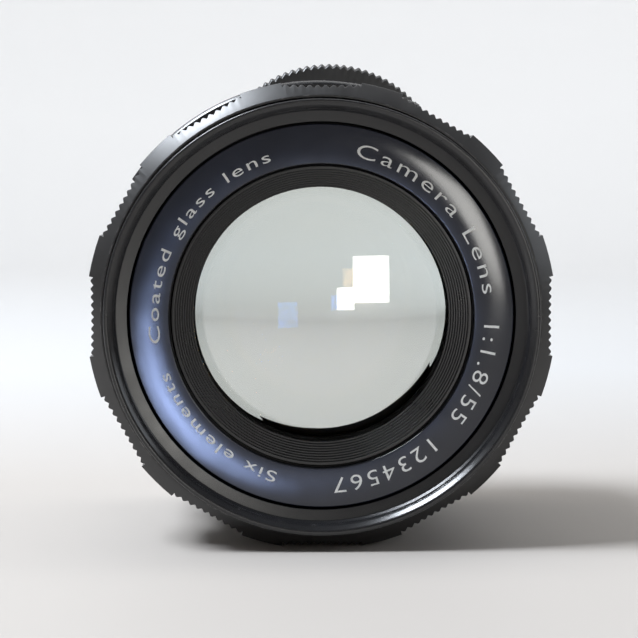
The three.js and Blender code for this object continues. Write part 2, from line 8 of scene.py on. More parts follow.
import bpy
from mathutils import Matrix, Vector


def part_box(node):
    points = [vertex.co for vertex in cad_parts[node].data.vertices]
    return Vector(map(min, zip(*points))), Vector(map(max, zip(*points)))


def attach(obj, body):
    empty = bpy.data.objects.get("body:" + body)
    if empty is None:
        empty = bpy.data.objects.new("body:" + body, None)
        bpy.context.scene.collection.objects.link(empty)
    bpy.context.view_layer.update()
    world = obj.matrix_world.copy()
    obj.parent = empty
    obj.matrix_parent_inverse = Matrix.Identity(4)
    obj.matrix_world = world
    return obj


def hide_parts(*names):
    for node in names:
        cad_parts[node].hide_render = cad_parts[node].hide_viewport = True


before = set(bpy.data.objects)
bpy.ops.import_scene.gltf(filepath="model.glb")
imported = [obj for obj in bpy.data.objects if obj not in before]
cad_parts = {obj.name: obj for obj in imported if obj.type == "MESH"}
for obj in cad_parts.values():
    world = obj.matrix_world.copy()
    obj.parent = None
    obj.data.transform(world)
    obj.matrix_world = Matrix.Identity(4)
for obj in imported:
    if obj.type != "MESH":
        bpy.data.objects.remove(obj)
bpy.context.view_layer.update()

MM = 0.001
RIM_LOW, RIM_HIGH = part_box("filter_ring")
LENS_ORIGIN = Vector((0.0, RIM_LOW[1], (RIM_LOW[2] + RIM_HIGH[2]) / 2))

# ---------- sizes, in millimetres ----------

FINE_TURN = 192            # facets round a plain turned piece
EDGE = 0.08                # radius of an ordinary machined edge
EDGE_STEPS = 4
SHARP_ANGLE = 32.0         # faces that meet at more than this keep a sharp edge
KNURL_SHARP_ANGLE = 40.0
POLISHED_SHARP_ANGLE = 20.0
GLASS_TURN = 160           # facets round a polished element
FILTER_RING_TURN = 256
MOUNT_FLANGE_TURN = 224
REARWARD = Vector((0.0, 1.0, 0.0))

LAND_COUNT = 12
LAND_PITCH = 360 / LAND_COUNT
LAND_HALF_ANGLE = 5.15
HOLLOW_DIP = 0.85
TEETH_PER_HOLLOW = 10
TOOTH_HEIGHT = 0.34
TOOTH_SHARES = (0.02, 0.4, 0.6, 0.98)    # where a tooth's foot, flat top and other foot lie across it
GRIP_REAR = 13.4
BAND_RADIUS = 26.6
FOCUS_RING_BORE = 25.7

RAISED_ARC = (-56.0, 27.0)
INDEX_ANGLE = sum(RAISED_ARC) / 2
SCALE_RING_RADIUS = 27.2
RAISED_ARC_RADIUS = 28.7
CONTROL_RING_BORE = 25.6   # of the depth-of-field ring and the aperture ring

EAR_ANGLE = 5.5
EAR_RADIUS = 31.3
APERTURE_GRIP_RADIUS = 27.3
APERTURE_BAND_RADIUS = 26.6
APERTURE_BAND_REAR = 29.2
APERTURE_TEETH = 200

FILTER_THREAD_RADIUS = 24.3
FILTER_THREAD_PITCH = 0.75
FILTER_SEAT = 3.4
MOUNT_THREAD_RADIUS = 21.0
MOUNT_THREAD_PITCH = 1.0
MOUNT_BORE = 19.4
FLANGE_STATION = 38.2
SCREW_NUMBERS = (1, 2, 3)  # of the grub screws, and of the mount screws

BLADE_COUNT = 6
BLADE_INNER = 11.95
BLADE_HEEL_RADIUS = 19.5
BLADE_TAIL_RADIUS = 18.1
BLADE_HEEL_END = 54.0
BLADE_START, BLADE_END = -4.5, 105.0
BLADE_THICKNESS = 0.14
FIRST_BLADE_STATION = 23.7
BLADE_PITCH = 0.3

FULL_FOCUS_TURN = 230.0
FULL_FOCUS_TRAVEL = 9.0
FOCAL_LENGTH = 55.0
STOP_SPACING = 10.0
STOPS = ("1.8", "2.8", "4", "5.6", "8", "11", "16")
METRES = ("0.45", "0.5", "0.6", "0.7", "0.8", "1", "1.2", "1.5", "2", "3", "5", "10")
FEET = ("1.5", "1.75", "2", "2.5", "3", "4", "5", "7", "10", "15", "30")
MM_PER_METRE = 1000
MM_PER_FOOT = 304.8
GLASS_INDEX = 1.74
COATING_INDEX = 1.38

CAPITAL_HEIGHT = 0.729     # of the built-in lettering, for a size of 1
PROUD = 0.016              # how far engraved paint stands above its metal


# ---------- reading the frame ----------

def half_width(node):
    low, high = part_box(node)
    return (high[0] - low[0]) / 2 / MM


def stations(node):
    low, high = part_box(node)
    return (low[1] - LENS_ORIGIN.y) / MM, (high[1] - LENS_ORIGIN.y) / MM


def profile_of(node):
    """The closed outline of a turned CAD node, cut through straight above its axis."""
    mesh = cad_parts[node].data
    points = []
    for vertex in mesh.vertices:
        place = (vertex.co - LENS_ORIGIN) / MM
        points.append((round(place.z, 4), round(place.y, 4)) if abs(place.x) < 1e-3 else None)
    links = {}
    for edge in mesh.edges:
        a, b = (points[v] for v in edge.vertices)
        if a and b and a != b and a[0] > -1e-6 and b[0] > -1e-6:
            links.setdefault(a, set()).add(b)
            links.setdefault(b, set()).add(a)
    start = min(links, key=lambda p: (p[0], p[1]))
    loop, last = [start], None
    while True:
        onward = [p for p in links[loop[-1]] if p != last and p not in loop[1:]]
        onward = [p for p in onward if p != start or len(loop) > 2]
        if not onward or onward[0] == start:
            break
        last = loop[-1]
        loop.append(onward[0])
    return outward_order(loop)


def outward_order(loop):
    """Front inner, front outer, rear outer, rear inner, whichever way the loop was walked."""
    area = 0.0
    for (r0, s0), (r1, s1) in zip(loop, loop[1:] + loop[:1]):
        area += r0 * s1 - r1 * s0
    return loop if area > 0 else loop[::-1]


# ---------- sections and sweeps ----------

def round_corners(loop, radius=EDGE, steps=EDGE_STEPS):
    """Each corner of a closed section becomes a short arc. The third number marks outside edges."""
    made = []
    count = len(loop)
    for i in range(count):
        here = Vector(loop[i])
        before = Vector(loop[i - 1]) - here
        after = Vector(loop[(i + 1) % count]) - here
        reach = min(radius, before.length * 0.45, after.length * 0.45)
        start = here + before.normalized() * reach
        end = here + after.normalized() * reach
        outside = 1.0 if before.x * after.y - before.y * after.x < 0 else 0.0
        for step in range(steps + 1):
            t = step / steps
            point = start * (1 - t) ** 2 + here * 2 * t * (1 - t) + end * t ** 2
            made.append((point.x, point.y, outside if 0 < step < steps else 0.0))
    return made


def polar(radius, angle, station):
    turn = math.radians(angle)
    return (radius * math.sin(turn) * MM, station * MM, radius * math.cos(turn) * MM)


def even_angles(count, start=0.0):
    return [start + 360.0 * i / count for i in range(count)]


def ring_mesh(section_at, angles):
    """Vertices, faces and edge marks of a ring whose section may change with the angle."""
    vertices, marks = [], []
    for angle in angles:
        for radius, station, mark in section_at(angle):
            vertices.append(polar(radius, angle, station))
            marks.append(mark)
    corners = len(vertices) // len(angles)
    faces = []
    for i in range(len(angles)):
        here, onward = i * corners, ((i + 1) % len(angles)) * corners
        for j in range(corners):
            k = (j + 1) % corners
            faces.append((here + j, onward + j, onward + k, here + k))
    return vertices, faces, marks


def add_piece(name, shape, body, material, stands_for=(), sharp=SHARP_ANGLE):
    """Makes an object of a shape, gives it smooth faces with sharp corners, and rides it on its body."""
    vertices, faces, marks = shape
    mesh = bpy.data.meshes.new(name)
    mesh.from_pydata(vertices, [], faces)
    mesh.materials.append(material)
    mesh.polygons.foreach_set("use_smooth", [True] * len(mesh.polygons))
    mesh.set_sharp_from_angle(angle=math.radians(sharp))
    if marks:
        mesh.attributes.new("edge_mark", "FLOAT", "POINT").data.foreach_set("value", marks)
    piece = bpy.data.objects.new(name, mesh)
    bpy.context.scene.collection.objects.link(piece)
    piece.location = LENS_ORIGIN
    bpy.context.view_layer.update()
    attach(piece, body)
    if stands_for:
        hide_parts(*stands_for)
    return piece


def bar_mesh(section_at, angles):
    """Like ring_mesh, but open: a closed bar with a flat cap at each end."""
    vertices, faces, marks = ring_mesh(section_at, angles)
    corners = len(vertices) // len(angles)
    faces = faces[:-corners]
    faces.append(tuple(reversed(range(corners))))
    faces.append(tuple(len(vertices) - corners + corner for corner in range(corners)))
    return vertices, faces, marks


def stud_mesh(profile, foot, direction, turn=48):
    """A round solid about a line from its foot: its profile is [radius, height], from foot to top."""
    side = direction.orthogonal().normalized()
    other = direction.cross(side)
    vertices = [tuple((foot + direction * profile[0][1]) * MM)]
    for step in range(turn):
        around = 2 * math.pi * step / turn
        out = side * math.cos(around) + other * math.sin(around)
        vertices += [tuple((foot + direction * height + out * radius) * MM) for radius, height in profile]
    vertices.append(tuple((foot + direction * profile[-1][1]) * MM))
    rows, last = len(profile), len(vertices) - 1
    faces = []
    for step in range(turn):
        here, onward = 1 + step * rows, 1 + ((step + 1) % turn) * rows
        faces.append((0, onward, here))
        faces += [(here + row, onward + row, onward + row + 1, here + row + 1) for row in range(rows - 1)]
        faces.append((last, here + rows - 1, onward + rows - 1))
    return vertices, faces, None


def box_mesh(centre, along, across, up):
    """A box about a centre, from its three half-size vectors, with its faces turned outward."""
    if along.cross(across).dot(up) < 0:
        up = -up
    corners = [(a, b, c) for a in (-1, 1) for b in (-1, 1) for c in (-1, 1)]
    vertices = [tuple((centre + along * a + across * b + up * c) * MM) for a, b, c in corners]
    faces = [(0, 1, 3, 2), (4, 6, 7, 5), (0, 4, 5, 1), (2, 3, 7, 6), (0, 2, 6, 4), (1, 5, 7, 3)]
    return vertices, faces, None


def cut_away(piece, shapes):
    """Cuts closed shapes, drawn about the lens axis, out of a piece."""
    for vertices, faces, _ in shapes:
        mesh = bpy.data.meshes.new("cutter")
        mesh.from_pydata(vertices, [], faces)
        cutter = bpy.data.objects.new("cutter", mesh)
        cutter.location = LENS_ORIGIN
        bpy.context.scene.collection.objects.link(cutter)
        modifier = piece.modifiers.new("cut", "BOOLEAN")
        modifier.operation = "DIFFERENCE"
        modifier.solver = "EXACT"
        modifier.object = cutter
        bpy.context.view_layer.update()
        evaluated = piece.evaluated_get(bpy.context.evaluated_depsgraph_get())
        result = bpy.data.meshes.new_from_object(evaluated)
        piece.modifiers.clear()
        piece.data = result
        bpy.data.objects.remove(cutter)
    piece.data.set_sharp_from_angle(angle=math.radians(SHARP_ANGLE))


def centre_of(node):
    """The middle of a CAD node's box, in millimetres from the lens origin, and its half size."""
    low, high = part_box(node)
    middle = (Vector(low) + Vector(high)) / 2 - LENS_ORIGIN
    return middle / MM, (Vector(high) - Vector(low)) / 2 / MM


def add_ring(name, loop, body, material, stands_for=(), edge=EDGE, turn=FINE_TURN):
    section = round_corners(loop, edge)
    shape = ring_mesh(lambda angle: section, even_angles(turn))
    return add_piece(name, shape, body, material, stands_for)


def return_ring(node, body, material, edge=EDGE):
    """A finer copy of a plain turned CAD node, in its place."""
    return add_ring(f"{node}_turned", profile_of(node), body, material, (node,), edge)


# ---------- materials ----------

RELIEF_DEPTH = 0.03 * MM   # of the grain and the lathe lines, before their strength
WORN_METAL = (0.42, 0.41, 0.40, 1.0)


def scaled(colour, share):
    return tuple(channel * share for channel in colour)


def new_material(name):
    material = bpy.data.materials.new(name)
    material.use_nodes = True
    tree = material.node_tree
    return material, tree, tree.nodes["Principled BSDF"]


def add_node(tree, kind, **values):
    node = tree.nodes.new(kind)
    for key, value in values.items():
        if hasattr(node, key):
            setattr(node, key, value)
        else:
            node.inputs[key.replace("_", " ")].default_value = value
    return node


def noise(tree, scale, detail=3.0, roughness=0.6):
    place = add_node(tree, "ShaderNodeTexCoord")
    texture = add_node(tree, "ShaderNodeTexNoise", Scale=scale, Detail=detail, Roughness=roughness)
    tree.links.new(place.outputs["Object"], texture.inputs["Vector"])
    return texture


def ramp(tree, source, low, high, low_colour, high_colour):
    node = add_node(tree, "ShaderNodeValToRGB")
    node.color_ramp.elements[0].position = low
    node.color_ramp.elements[1].position = high
    node.color_ramp.elements[0].color = (*low_colour, 1.0)
    node.color_ramp.elements[1].color = (*high_colour, 1.0)
    tree.links.new(source, node.inputs["Fac"])
    return node


def turning_marks(tree, spacing):
    """Height of fine rings about the lens axis, such as a lathe leaves."""
    place = add_node(tree, "ShaderNodeTexCoord")
    flat = add_node(tree, "ShaderNodeVectorMath", operation="MULTIPLY")
    flat.inputs[1].default_value = (1.0, 0.0, 1.0)
    tree.links.new(place.outputs["Object"], flat.inputs[0])
    reach = add_node(tree, "ShaderNodeVectorMath", operation="LENGTH")
    tree.links.new(flat.outputs["Vector"], reach.inputs[0])
    lines = add_node(tree, "ShaderNodeTexNoise", noise_dimensions="1D", Scale=1.0 / (spacing * MM),
                     Detail=2.0)
    tree.links.new(reach.outputs["Value"], lines.inputs["W"])
    return lines


def black_metal(name, colour, roughness, worn, grain=0.12, marks=None):
    """Black anodised aluminium: a fine grain, cloudy gloss and paler metal along its outside edges."""
    material, tree, shader = new_material(name)
    clouds = noise(tree, 240.0, 4.0)
    gloss = add_node(tree, "ShaderNodeMapRange", To_Min=roughness * 0.72, To_Max=roughness * 1.3)
    tree.links.new(clouds.outputs["Fac"], gloss.inputs["Value"])
    tree.links.new(gloss.outputs["Result"], shader.inputs["Roughness"])
    mark = add_node(tree, "ShaderNodeAttribute", attribute_name="edge_mark")
    chips = noise(tree, 900.0, 5.0, 0.7)
    patch = add_node(tree, "ShaderNodeMapRange", From_Min=0.62 - 0.3 * worn, From_Max=0.7,
                     To_Max=min(1.0, worn))
    tree.links.new(chips.outputs["Fac"], patch.inputs["Value"])
    wear = add_node(tree, "ShaderNodeMath", operation="MULTIPLY")
    tree.links.new(mark.outputs["Fac"], wear.inputs[0])
    tree.links.new(patch.outputs["Result"], wear.inputs[1])
    tint = add_node(tree, "ShaderNodeMix", data_type="RGBA")
    shade = ramp(tree, clouds.outputs["Fac"], 0.3, 0.75, colour, scaled(colour, 1.35))
    tree.links.new(wear.outputs["Value"], tint.inputs["Factor"])
    tree.links.new(shade.outputs["Color"], tint.inputs["A"])
    tint.inputs["B"].default_value = WORN_METAL
    tree.links.new(tint.outputs["Result"], shader.inputs["Base Color"])
    tree.links.new(wear.outputs["Value"], shader.inputs["Metallic"])
    relief = noise(tree, 9000.0, 2.0) if marks is None else turning_marks(tree, marks)
    bump = add_node(tree, "ShaderNodeBump", Strength=grain, Distance=RELIEF_DEPTH)
    tree.links.new(relief.outputs["Fac"], bump.inputs["Height"])
    tree.links.new(bump.outputs["Normal"], shader.inputs["Normal"])
    shader.inputs["Specular IOR Level"].default_value = 0.6
    return material


def bare_metal(name, colour, roughness, marks=0.05):
    """Turned metal with fine lathe lines."""
    material, tree, shader = new_material(name)
    lines = turning_marks(tree, marks)
    shade = ramp(tree, lines.outputs["Fac"], 0.3, 0.7, scaled(colour, 0.85), colour)
    tree.links.new(shade.outputs["Color"], shader.inputs["Base Color"])
    gloss = add_node(tree, "ShaderNodeMapRange", To_Min=roughness - 0.05, To_Max=roughness + 0.1)
    tree.links.new(noise(tree, 500.0).outputs["Fac"], gloss.inputs["Value"])
    tree.links.new(gloss.outputs["Result"], shader.inputs["Roughness"])
    bump = add_node(tree, "ShaderNodeBump", Strength=0.15, Distance=RELIEF_DEPTH)
    tree.links.new(lines.outputs["Fac"], bump.inputs["Height"])
    tree.links.new(bump.outputs["Normal"], shader.inputs["Normal"])
    shader.inputs["Metallic"].default_value = 1.0
    return material


def paint(name, colour):
    """Matt paint rubbed into engraving, slightly uneven."""
    material, tree, shader = new_material(name)
    clouds = noise(tree, 1500.0, 4.0)
    shade = ramp(tree, clouds.outputs["Fac"], 0.25, 0.6, scaled(colour, 0.8), colour)
    tree.links.new(shade.outputs["Color"], shader.inputs["Base Color"])
    shader.inputs["Roughness"].default_value = 0.7
    return material


def coated_glass(name, film):
    """Optical glass under a thin coating that tints what it reflects."""
    material, tree, shader = new_material(name)
    shader.inputs["Base Color"].default_value = (1.0, 1.0, 0.995, 1.0)
    shader.inputs["Roughness"].default_value = 0.0
    shader.inputs["IOR"].default_value = GLASS_INDEX
    shader.inputs["Transmission Weight"].default_value = 1.0
    shader.inputs["Thin Film Thickness"].default_value = film
    shader.inputs["Thin Film IOR"].default_value = COATING_INDEX
    return material


def plain_stage():
    """Pale matt paint, warmer and darker under the lens, and palest toward the wall behind it."""
    material, tree, shader = new_material("pale_floor")
    place = add_node(tree, "ShaderNodeTexCoord")
    split = add_node(tree, "ShaderNodeSeparateXYZ")
    tree.links.new(place.outputs["Object"], split.inputs["Vector"])
    shade = ramp(tree, split.outputs["Y"], 0.03, 0.20, (0.43, 0.40, 0.37), (0.56, 0.56, 0.56))
    shade.color_ramp.elements.new(0.95).color = (0.86, 0.86, 0.86, 1.0)
    tree.links.new(shade.outputs["Color"], shader.inputs["Base Color"])
    shader.inputs["Roughness"].default_value = 0.6
    return material


SATIN_BLACK = black_metal("satin_black", (0.010, 0.010, 0.011), 0.22, 0.25)
GRIP_BLACK = black_metal("grip_black", (0.017, 0.0165, 0.0165), 0.34, 0.35)
RIM_BLACK = black_metal("rim_black", (0.010, 0.010, 0.011), 0.22, 0.06)
NAME_BLACK = black_metal("name_ring_black", (0.0085, 0.0088, 0.010), 0.10, 0.1, 0.04)
BAFFLE_BLACK = black_metal("baffle_black", (0.009, 0.009, 0.0095), 0.30, 0.05)
MATT_BLACK = black_metal("matt_black", (0.006, 0.006, 0.0065), 0.55, 0.1)
BRASS = bare_metal("turned_brass", (0.60, 0.44, 0.20), 0.32)
STEEL = bare_metal("turned_steel", (0.50, 0.50, 0.51), 0.25)
SATIN_CHROME = bare_metal("satin_chrome", (0.56, 0.56, 0.57), 0.30, 0.08)
BLADE_STEEL = bare_metal("blued_steel", (0.05, 0.052, 0.06), 0.42, 0.1)
WHITE_FILL = paint("white_fill", (0.86, 0.87, 0.85))
ORANGE_FILL = paint("orange_fill", (0.80, 0.22, 0.03))


# ---------- camera, floor and light ----------

def add_camera():
    """The camera stands a little above the lens's axis and looks straight at its front rim."""
    distance, side, rise = 0.220, -1.3, 4.1
    turn, tilt = math.radians(side), math.radians(rise)
    toward = Vector((math.sin(turn) * math.cos(tilt), -math.cos(turn) * math.cos(tilt), math.sin(tilt)))
    data = bpy.data.cameras.new("camera")
    data.lens = 107.2
    data.sensor_width = 36.0
    data.clip_start = 0.01
    data.shift_x = -0.0055
    camera = bpy.data.objects.new("camera", data)
    bpy.context.scene.collection.objects.link(camera)
    camera.location = LENS_ORIGIN + toward * distance
    camera.rotation_euler = (-toward).to_track_quat("-Z", "Y").to_euler()
    bpy.context.scene.camera = camera


def add_stage():
    """A pale floor that curves up, all the way round, into a pale wall. Its sizes are in metres."""
    reach, wall, bend, turns = 1.15, 1.1, 0.45, 96
    outline = [(reach - bend + bend * math.sin(turn), bend - bend * math.cos(turn))
               for turn in (math.radians(7.5 * step) for step in range(13))]
    outline.append((reach, wall))
    vertices = [(0.0, 0.0, 0.0)]
    for step in range(turns):
        around = 2 * math.pi * step / turns
        across, back = math.cos(around), math.sin(around)
        vertices += [(radius * across, radius * back, height) for radius, height in outline]
    rows, faces = len(outline), []
    for step in range(turns):
        here, onward = 1 + step * rows, 1 + ((step + 1) % turns) * rows
        faces.append((0, here, onward))
        faces += [(here + row, here + row + 1, onward + row + 1, onward + row) for row in range(rows - 1)]
    mesh = bpy.data.meshes.new("floor")
    mesh.from_pydata(vertices, [], faces)
    mesh.materials.append(plain_stage())
    mesh.polygons.foreach_set("use_smooth", [True] * len(mesh.polygons))
    floor = bpy.data.objects.new("floor", mesh)
    bpy.context.scene.collection.objects.link(floor)


def add_softbox(name, place, size, power, colour, aim=LENS_ORIGIN):
    data = bpy.data.lights.new(name, "AREA")
    data.shape = "RECTANGLE"
    data.size, data.size_y = size
    data.energy = power
    data.color = colour
    light = bpy.data.objects.new(name, data)
    bpy.context.scene.collection.objects.link(light)
    light.location = place
    light.rotation_euler = (aim - light.location).to_track_quat("-Z", "Y").to_euler()
    return light


def light_only(light, names):
    """The light falls on the named pieces alone, and nothing else shades them from it."""
    lit = bpy.data.collections.new(light.name)
    for name in names:
        lit.objects.link(bpy.data.objects[name])
    light.light_linking.receiver_collection = lit
    light.light_linking.blocker_collection = lit


def add_lights():
    world = bpy.data.worlds.new("studio")
    bpy.context.scene.world = world
    world.use_nodes = True
    background = world.node_tree.nodes["Background"]
    background.inputs["Color"].default_value = (0.94, 0.96, 1.0, 1.0)
    background.inputs["Strength"].default_value = 0.18
    add_softbox("window", Vector((0.125, -0.72, 0.045)), (0.080, 0.120), 0.27, (1.0, 0.99, 0.95))
    add_softbox("soft_top_left", Vector((-0.32, -0.09, 0.54)), (0.22, 0.22), 7.0, (0.86, 0.92, 1.0))
    add_softbox("soft_right", Vector((0.60, -0.05, 0.26)), (0.30, 0.30), 0.6, (0.86, 0.92, 1.0))
    add_softbox("backdrop_light", Vector((0.0, 0.20, 0.95)), (1.4, 0.4), 7.3, (1.0, 0.997, 0.99),
                Vector((0.0, 1.0, 0.25)))
    sky = add_softbox("sky_on_name_ring", Vector((-0.054, -0.42, -0.040)), (0.052, 0.052), 1.3,
                      (0.42, 0.56, 1.0))
    light_only(sky, ("name_ring_turned",))


# ---------- engraving ----------

def flat_text(words, height, spacing=1.0, weight=0.0):
    """Vertices and faces of words laid flat, centred across, with capitals of the given height."""
    curve = bpy.data.curves.new("words", "FONT")
    curve.body = words
    curve.space_character = spacing
    curve.offset = weight
    curve.align_x = "CENTER"
    curve.resolution_u = 5
    curve.extrude = 0.5
    holder = bpy.data.objects.new("words", curve)
    mesh = holder.to_mesh()
    scale = height / CAPITAL_HEIGHT
    vertices = [(v.co.x * scale, v.co.y * scale, v.co.z) for v in mesh.vertices]
    faces = [tuple(polygon.vertices) for polygon in mesh.polygons]
    holder.to_mesh_clear()
    bpy.data.objects.remove(holder)
    bpy.data.curves.remove(curve)
    return vertices, faces


def lie_on_face(vertices, angle, baseline, station):
    """Wraps flat words clockwise round a face across the axis, with their tops outward."""
    return [polar(baseline + y, angle + math.degrees(x / baseline), station - PROUD * z)
            for x, y, z in vertices]


def lie_on_barrel(vertices, angle, station, radius):
    """Wraps flat words round a barrel, with their tops toward the front, to be read from behind."""
    return [polar(radius + PROUD * z, angle - math.degrees(x / radius), station - y)
            for x, y, z in vertices]


def tick_marks(ticks, radius):
    """Engraved lines along a barrel, each given as angle, front station, rear station and width."""
    vertices, faces = [], []
    for angle, front, rear, width in ticks:
        half = math.degrees(width / 2 / radius)
        first = len(vertices)
        for reach in (radius - PROUD, radius + PROUD):
            vertices += [polar(reach, angle - half, front), polar(reach, angle + half, front),
                         polar(reach, angle + half, rear), polar(reach, angle - half, rear)]
        for quad in ((4, 5, 6, 7), (3, 2, 1, 0), (0, 1, 5, 4), (1, 2, 6, 5), (2, 3, 7, 6), (3, 0, 4, 7)):
            faces.append(tuple(first + corner for corner in quad))
    return vertices, faces, None


def engrave_face(name, words, start, end, baseline, height, weight, station):
    """Words on the name ring, spread evenly between two angles."""
    vertices, faces = flat_text(words, height, 1.2, weight)
    low, high = min(v[0] for v in vertices), max(v[0] for v in vertices)
    spread = math.radians(end - start) * baseline / (high - low)
    vertices = [((x - (low + high) / 2) * spread, y, z) for x, y, z in vertices]
    placed = lie_on_face(vertices, (start + end) / 2, baseline, station)
    return add_piece(name, (placed, faces, None), "optics", WHITE_FILL)


def engrave_barrel(name, marks, radius, height, body, material):
    """Several words on one barrel, each given as text, angle and the station of its foot."""
    vertices, faces = [], []
    for words, angle, station in marks:
        flat, flat_faces = flat_text(words, height)
        first = len(vertices)
        vertices += lie_on_barrel(flat, angle, station, radius)
        faces += [tuple(first + corner for corner in face) for face in flat_faces]
    return add_piece(name, (vertices, faces, None), body, material)


# ---------- front group ----------

def thread_grooves(crest, depth, start, end, pitch):
    """A fine thread in section: sharp V grooves between narrow flats, from one station to another."""
    points = []
    step = math.copysign(pitch, end - start)
    for number in range(int(abs(end - start) / pitch)):
        foot = start + number * step
        points += [(crest, foot), (crest, foot + 0.12 * step), (crest - depth, foot + 0.5 * step),
                   (crest - depth, foot + 0.62 * step)]
    return points


def filter_ring():
    """The rim, rounded at its lip, with the filter thread cut inside it."""
    rim, (front, rear) = half_width("filter_ring"), stations("filter_ring")
    seat_bore, lead_in, rounding, rounding_steps = 22.9, 0.55, 0.38, 8
    thread, depth = FILTER_THREAD_RADIUS - 0.15, 0.4
    outline = [(seat_bore, rear), (seat_bore, FILTER_SEAT), (thread + depth, FILTER_SEAT)]
    outline += thread_grooves(thread, -depth, 3.1, 0.6, FILTER_THREAD_PITCH)
    section = round_corners(outline, 0.03, 2)
    lip = round_corners([(seat_bore, rear), (thread, 0.75), (FILTER_THREAD_RADIUS + lead_in, front),
                         (rim, front), (rim, rear), (seat_bore, rear)], rounding, rounding_steps)
    corner = rounding_steps + 1      # points in one rounded corner
    section += lip[corner:-corner]
    shape = ring_mesh(lambda angle: section, even_angles(FILTER_RING_TURN))
    add_piece("filter_ring_threaded", shape, "optics", RIM_BLACK, ("filter_ring",))


def name_ring():
    return_ring("name_ring", "optics", NAME_BLACK, 0.12)
    face = stations("name_ring")[0]
    baseline = 19.15
    engrave_face("name_ring_title", "Camera Lens", 12, 82, baseline, 1.75, -0.006, face)
    engrave_face("name_ring_speed", "1:1.8/55", 93, 128, baseline, 1.95, -0.006, face)
    engrave_face("name_ring_digits", "1234567", 139, 176, baseline, 1.95, -0.006, face)
    engrave_face("name_ring_elements", "Six elements", 196, 250, baseline, 1.35, 0.0, face)
    engrave_face("name_ring_glass", "Coated glass lens", 261, 342, baseline, 1.35, 0.0, face)


def front_baffle():
    """A funnel of fine square steps that leads down to the front glass."""
    outer, (front, rear) = half_width("front_baffle"), stations("front_baffle")
    inner, lip, floor, grooves = min(profile_of("front_baffle"))[0], 0.35, 0.45, 8
    run, fall = (outer - lip - inner) / grooves, (rear - floor - front) / grooves
    loop = [(inner, rear)]
    for groove in range(grooves):
        radius = inner + run * groove
        station = rear - floor - fall * groove
        wall, bottom = radius + run * 0.75, station + fall * 0.35
        loop += [(radius, station), (wall, station), (wall, bottom), (radius + run, bottom)]
    loop += [(outer - lip, front), (outer, front), (outer, rear)]
    add_ring("front_baffle_stepped", loop, "optics", BAFFLE_BLACK, ("front_baffle",), 0.03)


def surface(vertex, edge, steps=20):
    """Points of a polished surface, from its vertex on the axis out to its edge."""
    height, fall = edge[0], edge[1] - vertex[1]
    curve = (height * height + fall * fall) / (2 * fall)
    points = []
    for step in range(steps + 1):
        reach = height * step / steps
        drop = math.copysign(math.sqrt(curve * curve - reach * reach), curve)
        points.append((reach, vertex[1] + curve - drop))
    return points


def solid_of_revolution(outline, turn):
    """Vertices, faces and each face's place along an outline that starts and ends on the axis."""
    vertices = [polar(0.0, 0.0, outline[0][1])]
    for angle in even_angles(turn):
        vertices += [polar(radius, angle, station) for radius, station in outline[1:-1]]
    vertices.append(polar(0.0, 0.0, outline[-1][1]))
    rows, last = len(outline) - 2, len(vertices) - 1
    faces, bands = [], []
    for i in range(turn):
        here, onward = 1 + i * rows, 1 + ((i + 1) % turn) * rows
        faces.append((0, onward, here))
        bands.append(0)
        for j in range(rows - 1):
            faces.append((here + j, onward + j, onward + j + 1, here + j + 1))
            bands.append(j + 1)
        faces.append((last, here + rows - 1, onward + rows - 1))
        bands.append(rows)
    return vertices, faces, bands


def glass_element(node, film):
    """A polished element with a blackened rim, on the surfaces of its CAD node."""
    outline = profile_of(node)
    on_axis = sorted((p for p in outline if p[0] < 1e-6), key=lambda p: p[1])
    widest = max(p[0] for p in outline)
    rim = sorted((p for p in outline if p[0] > widest - 1e-3), key=lambda p: p[1])
    front_edge, rear_edge = rim[0], rim[-1]
    on_front = [p for p in outline if abs(p[1] - front_edge[1]) < 1e-3]
    on_rear = [p for p in outline if abs(p[1] - rear_edge[1]) < 1e-3]
    front = surface(on_axis[0], min(on_front))
    rear = surface(on_axis[-1], min(on_rear))
    bevel = 0.15
    middle = [(widest - bevel, front_edge[1]), (widest, front_edge[1] + bevel),
              (widest, rear_edge[1] - bevel), (widest - bevel, rear_edge[1])]
    if min(on_front) == front_edge:
        front[-1] = middle.pop(0)
    if min(on_rear) == rear_edge:
        rear[-1] = middle.pop()
    vertices, faces, bands = solid_of_revolution(front + middle + rear[::-1], GLASS_TURN)
    glass = coated_glass(f"{node}_glass", film)
    piece = add_piece(f"{node}_polished", (vertices, faces, None), "optics", glass, (node,),
                      POLISHED_SHARP_ANGLE)
    piece.data.materials.append(MATT_BLACK)
    ground = range(len(front) - 1, len(front) + len(middle))
    for polygon, band in zip(piece.data.polygons, bands):
        polygon.material_index = 1 if band in ground else 0


